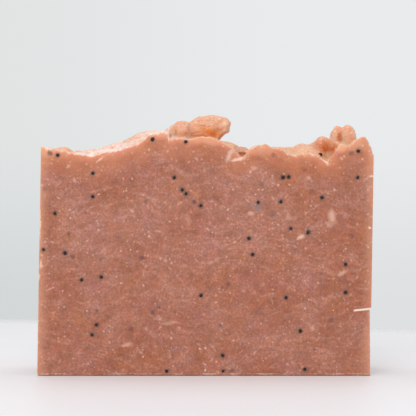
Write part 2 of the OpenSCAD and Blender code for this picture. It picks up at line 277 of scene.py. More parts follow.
def move_to(mesh, spots):
    mesh.vertices.foreach_set("co", (spots * MM).ravel())
    mesh.update()


def store(mesh, name, values):
    """Keeps one number for each vertex, under a name that nodes can read."""
    found = mesh.attributes.get(name) or mesh.attributes.new(name, "FLOAT", "POINT")
    found.data.foreach_set("value", np.asarray(values, np.float32))


def weigh(obj, name, values):
    """A vertex group with one weight for each vertex, in steps of a twentieth."""
    group = obj.vertex_groups.new(name=name)
    steps = np.round(np.clip(values, 0, 1) * 20).astype(int)
    for step in range(1, 21):
        group.add(np.flatnonzero(steps == step).tolist(), step / 20, "REPLACE")


def nearest(spots, targets):
    """Distance from each spot to the nearest target."""
    tree = KDTree(len(targets))
    for i, target in enumerate(targets):
        tree.insert(target, i)
    tree.balance()
    return np.array([tree.find(spot)[2] for spot in spots])


# Where a point lies on the bar


def below_cuts(spots):
    """How far each spot lies inside the two cuts."""
    return np.minimum(spots[:, 1] - BAR_LOW.y, BAR_HIGH.y - spots[:, 1])


def below_sides(spots):
    """How far each spot lies inside the two moulded sides."""
    left = FOOT_LEFT + LEAN * spots[:, 2]
    return np.minimum(spots[:, 0] - left, left + BAR_WIDTH - spots[:, 0])


def seed_middles():
    """The middle and radius of each seed, from the seeds' CAD node."""
    bm = bmesh.new()
    bm.from_mesh(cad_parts["poppy_seeds"].data)
    bmesh.ops.remove_doubles(bm, verts=bm.verts, dist=1e-6)
    left = set(bm.verts)
    found = []
    while left:
        group = [left.pop()]
        for vert in group:
            for edge in vert.link_edges:
                other = edge.other_vert(vert)
                if other in left:
                    left.remove(other)
                    group.append(other)
        co = np.array([v.co for v in group]) / MM
        low, high = co.min(0), co.max(0)
        found.append(((low + high) / 2, (high - low).max() / 2))
    bm.free()
    return sorted(found, key=lambda seed: tuple(seed[0]))


SEEDS = seed_middles()
SEED_MIDDLES = np.array([middle for middle, radius in SEEDS])


def on_top(spots):
    """Which spots lie on the whisked top and off its rim."""
    inside = np.minimum(below_cuts(spots), below_sides(spots))
    off_seeds = nearest(spots, SEED_MIDDLES) > 1.1 * SEEDS[0][1]
    crest = spots[:, 2] > CREST_STARTS
    return (inside > INSIDE) & (spots[:, 2] > TOP_STARTS) & (off_seeds | crest)


def rim_distance(spots, top):
    """Distance of each spot from the rim where the whisked top meets a cut or a side."""
    inside = np.minimum(below_cuts(spots), below_sides(spots))
    rim = spots[top & (inside < INSIDE + RIM_BAND)]
    return nearest(spots, rim)


def hollows(mesh, chosen):
    """How shut in each chosen vertex is, from 0 in the open to 1 deep in a fold."""
    bm = bmesh.new()
    bm.from_mesh(mesh)
    bvh = BVHTree.FromBMesh(bm)
    shut = np.zeros(len(mesh.vertices))
    turns = [RAY_TURN * k for k in range(RAYS)]
    heights = [0.25 + 0.75 * (k + 0.5) / RAYS for k in range(RAYS)]
    for i in chosen:
        vert = mesh.vertices[i]
        normal = vert.normal
        side = normal.orthogonal().normalized()
        up = normal.cross(side)
        start = vert.co + normal * RAY_LIFT * MM
        hits = 0
        for turn, height in zip(turns, heights):
            flat = math.sqrt(1 - height * height)
            way = normal * height + (side * math.cos(turn) + up * math.sin(turn)) * flat
            if bvh.ray_cast(start, way, RAY_REACH * MM)[0] is not None:
                hits += 1
        shut[i] = hits / RAYS
    bm.free()
    return shut


# Geometry Nodes


def group_tree(name, inputs):
    """An empty Geometry Nodes tree with named number inputs, and its two end nodes."""
    tree = bpy.data.node_groups.new(name, "GeometryNodeTree")
    tree.interface.new_socket("Geometry", in_out="INPUT", socket_type="NodeSocketGeometry")
    tree.interface.new_socket("Geometry", in_out="OUTPUT", socket_type="NodeSocketGeometry")
    for label in inputs:
        tree.interface.new_socket(label, in_out="INPUT", socket_type="NodeSocketFloat")
    return tree, add(tree, "NodeGroupInput"), add(tree, "NodeGroupOutput")


def run_tree(obj, tree, values):
    """Runs a tree on an object with these inputs and keeps the plain result."""
    modifier = obj.modifiers.new(tree.name, "NODES")
    modifier.node_group = tree
    for item in tree.interface.items_tree:
        if item.in_out == "INPUT" and item.name in values:
            modifier[item.identifier] = values[item.name]
    return make_plain(obj)


def rough_top_tree():
    """Lumps, grain and chipped rims: how the whisk and the wire left the soap.

    On the open top a point moves along its normal. Round the rim it only moves down, so
    that the cuts stay flat.
    """
    tree, given, out = group_tree("rough_top", [
        "Lump size", "Lump height", "Grain size", "Grain height", "Chip size", "Chip depth"
    ])
    place = add(tree, "GeometryNodeInputPosition")
    crust = add(tree, "GeometryNodeInputNamedAttribute", {"Name": "crust"}, data_type="FLOAT")
    rim = add(tree, "GeometryNodeInputNamedAttribute", {"Name": "rim"}, data_type="FLOAT")
    heights = []
    for kind in ("Lump", "Grain"):
        size = given.outputs[f"{kind} size"]
        per_size = add(tree, "ShaderNodeMath", {0: 1.0, 1: size}, operation="DIVIDE")
        field = add(tree, "ShaderNodeTexNoise", {
            "Vector": place, "Scale": per_size, "Detail": 2.0, "Distortion": 0.4
        })
        middle = add(tree, "ShaderNodeMath", {0: field, 1: 0.5}, operation="SUBTRACT")
        full = given.outputs[f"{kind} height"]
        heights.append(add(tree, "ShaderNodeMath", {0: middle, 1: full}, operation="MULTIPLY"))
    both = add(tree, "ShaderNodeMath", {0: heights[0], 1: heights[1]}, operation="ADD")
    masked = add(tree, "ShaderNodeMath", {0: both, 1: crust}, operation="MULTIPLY")
    normal = add(tree, "GeometryNodeInputNormal")
    along = add(tree, "ShaderNodeVectorMath", {0: normal, "Scale": masked}, operation="SCALE")
    per_chip = add(tree, "ShaderNodeMath", {0: 1.0, 1: given.outputs["Chip size"]}, operation="DIVIDE")
    chips = add(tree, "ShaderNodeTexNoise", {"Vector": place, "Scale": per_chip, "Detail": 3.0})
    cut = add(tree, "ShaderNodeMapRange", {0: chips, 1: 0.5, 2: 0.75, 3: 0.0, 4: -1.0})
    depth = add(tree, "ShaderNodeMath", {0: cut, 1: given.outputs["Chip depth"]}, operation="MULTIPLY")
    down = add(tree, "ShaderNodeMath", {0: depth, 1: rim}, operation="MULTIPLY")
    fall = add(tree, "ShaderNodeCombineXYZ", {2: down})
    offset = add(tree, "ShaderNodeVectorMath", {0: along, 1: fall}, operation="ADD")
    moved = add(tree, "GeometryNodeSetPosition", {
        "Geometry": given.outputs["Geometry"], "Offset": offset
    })
    coat = add(tree, "GeometryNodeSetMaterial", {"Geometry": moved, "Material": CUT_SOAP})
    tree.links.new(coat.outputs[0], out.inputs[0])
    return tree


def fill_pockets(obj):
    """Joins a ball to the soap at each seed of the cuts and sides, so that soap hugs its coat.

    The ball is a twentieth wider than the pocket, so no gap is left between the two.
    """
    inside = np.minimum(below_cuts(SEED_MIDDLES), below_sides(SEED_MIDDLES))
    bm = bmesh.new()
    bm.from_mesh(obj.data)
    for (middle, radius), depth in zip(SEEDS, inside):
        if depth < radius:
            spot = Matrix.Translation(Vector(middle * MM))
            bmesh.ops.create_icosphere(bm, subdivisions=3, radius=1.05 * radius * MM, matrix=spot)
    bm.to_mesh(obj.data)
    bm.free()


def trim_to_slice(mesh):
    """Brings what stands out of the two cuts or the two sides back to them."""
    spots = np.clip(places(mesh), np.array(BAR_LOW), np.array(BAR_HIGH))
    left = FOOT_LEFT + LEAN * spots[:, 2]
    spots[:, 0] = np.clip(spots[:, 0], left, left + BAR_WIDTH)
    move_to(mesh, spots)


def build_soap():
    """The bar itself, rebuilt from the CAD solid in fine cells and roughened on top."""
    obj = merged_copy("soap_bar", "cut_soap")
    fill_pockets(obj)
    remesh = obj.modifiers.new("cells", "REMESH")
    remesh.mode = "VOXEL"
    remesh.voxel_size = CELL * MM
    make_plain(obj)
    trim_to_slice(obj.data)

    spots = places(obj.data)
    inside = np.minimum(below_cuts(spots), below_sides(spots))
    top = on_top(spots)
    weigh(obj, "open_top", np.where(top, ease((inside - INSIDE) / SMOOTH_IN), 0))
    smooth = obj.modifiers.new("soften", "SMOOTH")
    smooth.factor = 0.5
    smooth.iterations = 7
    smooth.vertex_group = "open_top"
    make_plain(obj)

    spots = places(obj.data)
    rim = rim_distance(spots, top)
    on_bar = (spots[:, 2] > TOP_STARTS) | top
    calm = 1 - CURLS_CALM * ease((spots[:, 2] - CURLS_FROM) / (CURLS_CLEAR - CURLS_FROM))
    store(obj.data, "crust", np.where(top, calm * ease((inside - INSIDE) / ROUGH_IN), 0))
    store(obj.data, "rim", np.where(on_bar, 1 - ease(rim / CHIPS_REACH), 0))
    run_tree(obj, rough_top_tree(), {
        "Lump size": 2.6 * MM, "Lump height": 1.1 * MM,
        "Grain size": 0.8 * MM, "Grain height": 0.3 * MM,
        "Chip size": 1.3 * MM, "Chip depth": 0.9 * MM
    })
    trim_to_slice(obj.data)

    # The cuts and sides are flat, so they can do with fewer triangles away from the seeds:
    # a weight of 0 spares the triangles there and 1 gives up the most
    spots = places(obj.data)
    near_seed = nearest(spots, SEED_MIDDLES) < 1.6
    spare = np.where(top, 0, np.where(rim < 2, 0.2, np.where(near_seed, 0.4, 1)))
    weigh(obj, "spare", spare)
    fewer = obj.modifiers.new("fewer", "DECIMATE")
    fewer.ratio = SOAP_TRIANGLES / sum(len(p.vertices) - 2 for p in obj.data.polygons)
    fewer.vertex_group = "spare"
    make_plain(obj)
    obj.vertex_groups.clear()
    mark_surface(obj.data)
    for polygon in obj.data.polygons:
        polygon.use_smooth = True
    return obj


def mark_surface(mesh):
    """Keeps on the mesh what the soap's material reads."""
    spots = places(mesh)
    inside = np.minimum(below_cuts(spots), below_sides(spots))
    top = on_top(spots)
    on_crust = top | (spots[:, 2] > CREST_STARTS)
    # Distance to the nearest upright edge, across a cut or along a side
    from_edge = np.where(below_cuts(spots) < 0.4, np.abs(below_sides(spots)), below_cuts(spots))
    store(mesh, "crust", np.where(on_crust, ease((inside - 0.12) / 0.25), 0))
    store(mesh, "rim", rim_distance(spots, top))
    store(mesh, "edge", from_edge)
    # How close each point is to a seed, for the painted shade round it
    store(mesh, "seed_shade", 1 - ease((nearest(spots, SEED_MIDDLES) - RING_FROM) / RING_FADE))
    store(mesh, "upward", [vert.normal.z for vert in mesh.vertices])
    store(mesh, "hollow", hollows(mesh, np.flatnonzero(top)))


# Seeds


def seed_tree():
    """One kidney-shaped seed on each point, turned at random."""
    tree, given, out = group_tree("poppy_seed", ["Length", "Width", "Height", "Notch"])
    ball = add(tree, "GeometryNodeMeshIcoSphere", {"Radius": 1.0, "Subdivisions": 3})
    place = add(tree, "GeometryNodeInputPosition")
    parts = add(tree, "ShaderNodeSeparateXYZ", {0: place})
    # The notch is a dent at the middle of one long side, which makes the kidney
    reach = add(tree, "ShaderNodeMath", {0: parts.outputs[0], 1: 2.2}, operation="MULTIPLY")
    square = add(tree, "ShaderNodeMath", {0: reach, 1: reach}, operation="MULTIPLY")
    fade = add(tree, "ShaderNodeMath", {0: square, 1: 1.0}, operation="ADD")
    front = add(tree, "ShaderNodeMath", {0: parts.outputs[1], 1: 0.0}, operation="MAXIMUM")
    dent = add(tree, "ShaderNodeMath", {0: front, 1: fade}, operation="DIVIDE")
    deep = add(tree, "ShaderNodeMath", {0: dent, 1: given.outputs["Notch"]}, operation="MULTIPLY")
    back = add(tree, "ShaderNodeMath", {0: parts.outputs[1], 1: deep}, operation="SUBTRACT")
    kidney = add(tree, "ShaderNodeCombineXYZ", {0: parts.outputs[0], 1: back, 2: parts.outputs[2]})
    stretch = add(tree, "ShaderNodeCombineXYZ", {
        0: given.outputs["Length"], 1: given.outputs["Width"], 2: given.outputs["Height"]
    })
    shape = add(tree, "ShaderNodeVectorMath", {0: kidney, 1: stretch}, operation="MULTIPLY")
    seed = add(tree, "GeometryNodeSetPosition", {"Geometry": ball.outputs[0], "Position": shape})
    smooth = add(tree, "GeometryNodeSetShadeSmooth", {0: seed})
    turn = add(tree, "FunctionNodeRandomValue", {
        0: (0.0, 0.0, 0.0), 1: (6.28, 6.28, 6.28), "Seed": 7
    }, data_type="FLOAT_VECTOR")
    size = add(tree, "GeometryNodeInputNamedAttribute", {"Name": "seed_radius"}, data_type="FLOAT")
    vary = add(tree, "FunctionNodeRandomValue", {2: 0.86, 3: 0.985, "Seed": 17})
    scale = add(tree, "ShaderNodeMath", {0: size, 1: vary.outputs[1]}, operation="MULTIPLY")
    each = add(tree, "GeometryNodeInstanceOnPoints", {
        "Points": given.outputs["Geometry"], "Instance": smooth,
        "Rotation": turn.outputs[0], "Scale": scale
    })
    real = add(tree, "GeometryNodeRealizeInstances", {0: each})
    coat = add(tree, "GeometryNodeSetMaterial", {"Geometry": real, "Material": SEED_COAT})
    tree.links.new(coat.outputs[0], out.inputs[0])
    return tree


def build_seeds():
    """The poppy seeds, one in each pocket of the CAD solid."""
    mesh = bpy.data.meshes.new("seed_points")
    mesh.from_pydata([tuple(middle * MM) for middle, radius in SEEDS], [], [])
    store(mesh, "seed_radius", [radius * MM for middle, radius in SEEDS])
    obj = new_object("poppy_seed_coats", mesh)
    return run_tree(obj, seed_tree(), {"Length": 1.0, "Width": 1.0, "Height": 0.94, "Notch": 0.25})


# Ash crumbs


def crumb_tree():
    """Tiny crumbs of pale soda ash, thickest along the rim."""
    tree, given, out = group_tree("ash_crumb", ["Smallest", "Largest", "Per square metre"])
    thick = add(tree, "GeometryNodeInputNamedAttribute", {"Name": "crumbly"}, data_type="FLOAT")
    density = add(tree, "ShaderNodeMath", {
        0: thick, 1: given.outputs["Per square metre"]
    }, operation="MULTIPLY")
    spread = add(tree, "GeometryNodeDistributePointsOnFaces", {
        "Mesh": given.outputs["Geometry"], "Density": density, "Seed": 3
    })
    crumb = add(tree, "GeometryNodeMeshIcoSphere", {"Radius": 1.0, "Subdivisions": 1})
    size = add(tree, "FunctionNodeRandomValue", {
        2: given.outputs["Smallest"], 3: given.outputs["Largest"], "Seed": 5
    })
    turn = add(tree, "FunctionNodeRandomValue", {
        0: (0.0, 0.0, 0.0), 1: (6.28, 6.28, 6.28), "Seed": 9
    }, data_type="FLOAT_VECTOR")
    stretch = add(tree, "FunctionNodeRandomValue", {
        0: (0.5, 0.5, 0.35), 1: (1.0, 1.2, 0.8), "Seed": 13
    }, data_type="FLOAT_VECTOR")
    scale = add(tree, "ShaderNodeVectorMath", {
        0: stretch.outputs[0], "Scale": size.outputs[1]
    }, operation="SCALE")
    each = add(tree, "GeometryNodeInstanceOnPoints", {
        "Points": spread.outputs[0], "Instance": crumb.outputs[0],
        "Rotation": turn.outputs[0], "Scale": scale
    })
    real = add(tree, "GeometryNodeRealizeInstances", {0: each})
    coat = add(tree, "GeometryNodeSetMaterial", {"Geometry": real, "Material": SODA_ASH})
    tree.links.new(coat.outputs[0], out.inputs[0])
    return tree


def build_crumbs(soap):
    """Crumbs of ash along the rim and scattered over the top."""
    obj = new_object("ash_crumbs", soap.data.copy())
    obj.data.materials.clear()
    spots = places(obj.data)
    rim = np.zeros(len(spots))
    obj.data.attributes["rim"].data.foreach_get("value", rim)
    patchy = ease((np.sin(spots[:, 0] * 0.9) + np.sin(spots[:, 0] * 2.3 + 1) + 0.9) / 2)
    along_rim = (1 - ease(rim / 0.9)) * (0.3 + patchy)
    high = spots[:, 2] > TOP_STARTS
    store(obj.data, "crumbly", np.where(high, along_rim + 0.03 * on_top(spots), 0))
    run_tree(obj, crumb_tree(), {
        "Smallest": 0.05 * MM, "Largest": 0.16 * MM, "Per square metre": 6e6
    })
    spots = places(obj.data)
    move_to(obj.data, np.clip(spots, np.array(cad_box[0]) / MM, np.array(cad_box[1]) / MM))
    return obj


# Materials


def new_material(name):
    material = bpy.data.materials.new(name)
    material.use_nodes = True
    tree = material.node_tree
    tree.nodes.clear()
    return material, tree


def ovals(tree, mm, marks):
    """Strength of soft ovals in the plane of the cut, the strongest wherever two overlap.

    An oval starts to fade at 0.3 of its half lengths and is gone at 1.4 of them.
    """
    shown = 0.0
    for x, z, half_x, half_z, turn, strength in marks:
        spot = add(tree, "ShaderNodeVectorMath", {0: mm, 1: (x, 0, z)}, operation="SUBTRACT")
        if turn:
            spot = add(tree, "ShaderNodeVectorRotate", {
                "Vector": spot, "Angle": math.radians(turn)
            }, rotation_type="Y_AXIS")
        share = add(tree, "ShaderNodeVectorMath", {
            0: spot, 1: (half_x, 1000, half_z)
        }, operation="DIVIDE")
        reach = add(tree, "ShaderNodeVectorMath", {0: share}, operation="LENGTH")
        soft = add(tree, "ShaderNodeMapRange", {
            0: reach, 1: 0.3, 2: 1.4, 3: strength, 4: 0.0
        }, interpolation_type="SMOOTHSTEP")
        shown = add(tree, "ShaderNodeMath", {0: shown, 1: soft}, operation="MAXIMUM")
    return shown


def wander(tree, mm, size, reach):
    """The place in millimetres, pushed about so that round marks come out ragged."""
    push = add(tree, "ShaderNodeTexNoise", {"Vector": mm, "Scale": 1 / size, "Detail": 2.0})
    middle = add(tree, "ShaderNodeVectorMath", {
        0: push.outputs["Color"], 1: (0.5, 0.5, 0.5)
    }, operation="SUBTRACT")
    far = add(tree, "ShaderNodeVectorMath", {0: middle, "Scale": reach}, operation="SCALE")
    return add(tree, "ShaderNodeVectorMath", {0: mm, 1: far}, operation="ADD")


# The soap's material


def cloudy_paste(tree, mm, front):
    """Colour of the paste: clay where the pigment gathered, and rose where it is thin.

    Clouds a few centimetres wide drift through the whole loaf. The ones that show in the
    front cut are listed and laid over them, with one long oval of painted shade along the foot.
    """
    drift = add(tree, "ShaderNodeTexNoise", {
        "Vector": mm, "Scale": 1 / 15, "Detail": 4.0, "Distortion": 0.8
    })
    share = add(tree, "ShaderNodeMapRange", {
        0: drift, 1: 0.36, 2: 0.64
    }, interpolation_type="SMOOTHSTEP")
    colour = add(tree, "ShaderNodeMix", {
        0: share, 6: linear("#A6654B"), 7: linear("#B07662")
    }, data_type="RGBA")
    ragged = wander(tree, mm, 7, 7.0)
    for tint, marks in CLOUDS_AND_FOOT_SHADE.items():
        strength = add(tree, "ShaderNodeMath", {
            0: ovals(tree, ragged, marks), 1: front
        }, operation="MULTIPLY")
        colour = add(tree, "ShaderNodeMix", {
            0: strength, 6: colour, 7: linear(tint)
        }, data_type="RGBA")
    # The whisk drew the paste out in bent streaks, a few times as long as they are wide
    bent = wander(tree, mm, 16, 16.0)
    drawn = add(tree, "ShaderNodeVectorMath", {0: bent, 1: (0.22, 0.4, 0.75)}, operation="MULTIPLY")
    streak = add(tree, "ShaderNodeTexNoise", {"Vector": drawn, "Scale": 1.0, "Detail": 2.0})
    pale = add(tree, "ShaderNodeMapRange", {
        0: streak, 1: 0.5, 2: 0.72, 3: 0.0, 4: 0.5
    }, interpolation_type="SMOOTHSTEP")
    colour = add(tree, "ShaderNodeMix", {0: pale, 6: colour, 7: linear("#C3917E")}, data_type="RGBA")
    brown = add(tree, "ShaderNodeMapRange", {
        0: streak, 1: 0.5, 2: 0.3, 3: 0.0, 4: 0.5
    }, interpolation_type="SMOOTHSTEP")
    colour = add(tree, "ShaderNodeMix", {0: brown, 6: colour, 7: linear("#A0603F")}, data_type="RGBA")
    # Oil and pigment part a little, so patches lean to amber or to mauve
    for size, amount in ((8, 0.25), (1.4, 0.25)):
        part = add(tree, "ShaderNodeTexNoise", {"Vector": ragged, "Scale": 1 / size, "Detail": 1.0})
        for low, high, tint in ((0.5, 0.3, "#B8713F"), (0.5, 0.7, "#AE7571")):
            lean = add(tree, "ShaderNodeMapRange", {
                0: part.outputs["Color"], 1: low, 2: high, 3: 0.0, 4: amount
            }, interpolation_type="SMOOTHSTEP")
            colour = add(tree, "ShaderNodeMix", {
                0: lean, 6: colour, 7: linear(tint)
            }, data_type="RGBA")
    for size, change in ((2.2, 0.1), (0.6, 0.22)):
        tone = add(tree, "ShaderNodeTexNoise", {"Vector": mm, "Scale": 1 / size, "Detail": 2.0})
        shade = add(tree, "ShaderNodeMapRange", {
            0: tone, 1: 0.3, 2: 0.7, 3: 1 - change, 4: 1 + change
        })
        colour = add(tree, "ShaderNodeVectorMath", {0: colour, "Scale": shade}, operation="SCALE")
    return colour


def pale_grains(tree, mm):
    """How much undissolved pale soap shows: single grains in loose flocks, and short wisps.

    The real grains are 0.1 mm and up. The smallest are drawn at a pixel, 0.25 mm.
    """
    flock = add(tree, "ShaderNodeTexNoise", {"Vector": mm, "Scale": 1 / 4, "Detail": 2.0})
    thick = add(tree, "ShaderNodeMapRange", {
        0: flock, 1: 0.4, 2: 0.62, 3: 0.35, 4: 1.0
    }, interpolation_type="SMOOTHSTEP")
    ragged = wander(tree, mm, 0.9, 0.8)
    shown = 0.0
    for size, share, radius, strength in GRAINS:
        cell = add(tree, "ShaderNodeTexVoronoi", {"Vector": ragged, "Scale": 1 / size})
        pick = add(tree, "ShaderNodeSeparateColor", {0: cell.outputs["Color"]})
        chosen = add(tree, "ShaderNodeMapRange", {
            0: pick, 1: 1 - share, 2: 1.0, 3: 0.0, 4: strength
        })
        body = add(tree, "ShaderNodeMapRange", {
            0: cell.outputs["Distance"], 1: 0.4 * radius / size, 2: 1.3 * radius / size, 3: 1.0, 4: 0.0
        }, interpolation_type="SMOOTHSTEP")
        grain = add(tree, "ShaderNodeMath", {0: chosen, 1: body}, operation="MULTIPLY")
        shown = add(tree, "ShaderNodeMath", {0: shown, 1: grain}, operation="MAXIMUM")
    flocked = add(tree, "ShaderNodeMath", {0: shown, 1: thick}, operation="MULTIPLY")

    # Flakes are longer than wide and lie along the drag of the wire, one way or the other
    for turn in (35, -50):
        lying = add(tree, "ShaderNodeMapping", {
            "Vector": ragged, "Rotation": (0, math.radians(turn), 0), "Scale": (2.2, 1.0, 0.9)
        }, vector_type="TEXTURE")
        cell = add(tree, "ShaderNodeTexVoronoi", {"Vector": lying, "Scale": 1.0})
        pick = add(tree, "ShaderNodeSeparateColor", {0: cell.outputs["Color"]})
        chosen = add(tree, "ShaderNodeMapRange", {0: pick, 1: 0.92, 2: 1.0, 3: 0.0, 4: 0.5})
        body = add(tree, "ShaderNodeMapRange", {
            0: cell.outputs["Distance"], 1: 0.1, 2: 0.42, 3: 1.0, 4: 0.0
        }, interpolation_type="SMOOTHSTEP")
        flake = add(tree, "ShaderNodeMath", {0: chosen, 1: body}, operation="MULTIPLY")
        flocked = add(tree, "ShaderNodeMath", {0: flocked, 1: flake}, operation="MAXIMUM")
    return flocked


def things_inside(tree, mm, front, colour):
    """Adds what lies just under the surface: buried seeds, a smudge, pale lumps and oil spots."""
    ragged = wander(tree, mm, 1.2, 0.9)
    buried = [(x, z, radius, radius, 0, strength) for x, z, radius, strength in BURIED_SEEDS]
    for marks, tint in (
        (AMBER_SPOTS, "#B4622F"), (SMUDGES, "#86706F"), (buried, "#4C3F48"), (PALE_LUMPS, "#E3B8A2")
    ):
        strength = add(tree, "ShaderNodeMath", {
            0: ovals(tree, ragged, marks), 1: front
        }, operation="MULTIPLY")
        colour = add(tree, "ShaderNodeMix", {
            0: strength, 6: colour, 7: linear(tint)
        }, data_type="RGBA")

    # Away from the front cut buried seeds and pale lumps lie at random
    elsewhere = add(tree, "ShaderNodeMath", {0: 1.0, 1: front}, operation="SUBTRACT")
    for size, radius, shown, tint in ((7, 0.8, 0.6, "#4C3F48"), (8, 0.8, 0.45, "#E3B8A2")):
        cell = add(tree, "ShaderNodeTexVoronoi", {"Vector": ragged, "Scale": 1 / size})
        body = add(tree, "ShaderNodeMapRange", {
            0: cell.outputs["Distance"], 1: 0.3 * radius / size, 2: radius / size, 3: shown, 4: 0.0
        }, interpolation_type="SMOOTHSTEP")
        strength = add(tree, "ShaderNodeMath", {0: body, 1: elsewhere}, operation="MULTIPLY")
        colour = add(tree, "ShaderNodeMix", {
            0: strength, 6: colour, 7: linear(tint)
        }, data_type="RGBA")
    return colour


def light_let_through(tree, mm, marks, front, colour):
    """Adds the light that the soap lets through at its rim and corners.

    It is kept in the colour as well as in the scattering, so that it stays under any lamp.
    """
    uneven = add(tree, "ShaderNodeTexNoise", {"Vector": mm, "Scale": 1 / 3.5, "Detail": 2.0})
    push = add(tree, "ShaderNodeMapRange", {0: uneven, 1: 0.3, 2: 0.7, 3: -1.2, 4: 1.2})
    for name, reach, start, tint in (
        ("rim", 8.0, 0.66, "#CC7F56"), ("rim", 2.4, 0.4, "#E0A383"), ("edge", 3.2, 0.5, "#D6A284")
    ):
        away = add(tree, "ShaderNodeMath", {0: push, 1: reach / 8}, operation="MULTIPLY")
        away = add(tree, "ShaderNodeMath", {0: marks[name], 1: away}, operation="ADD")
        glow = add(tree, "ShaderNodeMapRange", {
            0: away, 1: 0.0, 2: reach, 3: start, 4: 0.0
        }, interpolation_type="SMOOTHSTEP")
        colour = add(tree, "ShaderNodeMix", {0: glow, 6: colour, 7: linear(tint)}, data_type="RGBA")
    crests = add(tree, "ShaderNodeMath", {
        0: ovals(tree, wander(tree, mm, 3, 2.0), THIN_CRESTS), 1: front
    }, operation="MULTIPLY")
    return add(tree, "ShaderNodeMix", {0: crests, 6: colour, 7: linear("#E1A987")}, data_type="RGBA")


def whisked_crust(tree, mm, marks):
    """Colour of the dried top: peach, chalky where ash settled, with painted orange glow in its folds.
    """
    patch = add(tree, "ShaderNodeTexNoise", {"Vector": mm, "Scale": 1 / 1.6, "Detail": 3.0})
    uneven = add(tree, "ShaderNodeMapRange", {0: patch, 1: 0.35, 2: 0.65, 3: -0.25, 4: 0.25})
    facing = add(tree, "ShaderNodeMath", {0: marks["upward"], 1: uneven}, operation="ADD")
    # Painted shading: faces looking up get a darker, warmer tone than side faces, for how light falls
    facing_shade_and_ash = add(tree, "ShaderNodeMapRange", {
        0: facing, 1: 0.1, 2: 1.0
    }, interpolation_type="SMOOTHSTEP")
    colour = add(tree, "ShaderNodeMix", {
        0: facing_shade_and_ash, 6: linear("#D9A98B"), 7: linear("#D5A080")
    }, data_type="RGBA")
    bed = add(tree, "ShaderNodeMath", {
        0: ovals(tree, wander(tree, mm, 3, 3.0), ASH_BEDS), 1: facing_shade_and_ash
    }, operation="MULTIPLY")
    colour = add(tree, "ShaderNodeMix", {0: bed, 6: colour, 7: linear("#E8D3CB")}, data_type="RGBA")
    # Painted glow: shut-in folds are painted orange for the light let through the soap round them
    fold = add(tree, "ShaderNodeMapRange", {
        0: marks["hollow"], 1: 0.35, 2: 0.85
    }, interpolation_type="SMOOTHSTEP")
    colour = add(tree, "ShaderNodeMix", {0: fold, 6: colour, 7: linear("#E0A67D")}, data_type="RGBA")
    ragged = wander(tree, mm, 1.2, 0.9)
    parts = add(tree, "ShaderNodeSeparateXYZ", {0: mm})
    front_half = add(tree, "ShaderNodeMapRange", {0: parts.outputs[1], 1: 5.0, 2: 9.0, 3: 1.0, 4: 0.0})
    # Painted glow and shade in the listed folds and creases, seen from in front
    for tint, folds in FOLD_GLOW_AND_SHADE.items():
        strength = add(tree, "ShaderNodeMath", {
            0: ovals(tree, ragged, folds), 1: front_half
        }, operation="MULTIPLY")
        colour = add(tree, "ShaderNodeMix", {
            0: strength, 6: colour, 7: linear(tint)
        }, data_type="RGBA")

    # Creases run across the curls and folds, where the stiff soap cracked as it was drawn out
    bent = wander(tree, mm, 5, 5.0)
    drawn = add(tree, "ShaderNodeVectorMath", {0: bent, 1: (0.25, 0.5, 0.9)}, operation="MULTIPLY")
    level = add(tree, "ShaderNodeTexNoise", {"Vector": drawn, "Scale": 1.0, "Detail": 2.0})
    off = add(tree, "ShaderNodeMath", {0: level, 1: 0.5}, operation="SUBTRACT")
    off = add(tree, "ShaderNodeMath", {0: off}, operation="ABSOLUTE")
    # Painted shade: the creases are drawn as darker orange lines
    painted_crease_shade = add(tree, "ShaderNodeMapRange", {
        0: off, 1: 0.004, 2: 0.04, 3: 0.5, 4: 0.0
    }, interpolation_type="SMOOTHSTEP")
    colour = add(tree, "ShaderNodeMix", {0: painted_crease_shade, 6: colour, 7: linear("#CA8460")}, data_type="RGBA")
    dust = add(tree, "ShaderNodeTexNoise", {"Vector": mm, "Scale": 1 / 0.7, "Detail": 3.0})
    ash = add(tree, "ShaderNodeMapRange", {
        0: dust, 1: 0.52, 2: 0.68, 3: 0.0, 4: 0.3
    }, interpolation_type="SMOOTHSTEP")
    bare = add(tree, "ShaderNodeMapRange", {0: marks["hollow"], 1: 0.1, 2: 0.5, 3: 1.0, 4: 0.0})
    strength = add(tree, "ShaderNodeMath", {0: ash, 1: bare}, operation="MULTIPLY")
    return add(tree, "ShaderNodeMix", {
        0: strength, 6: colour, 7: linear("#F8E7DE")
    }, data_type="RGBA")


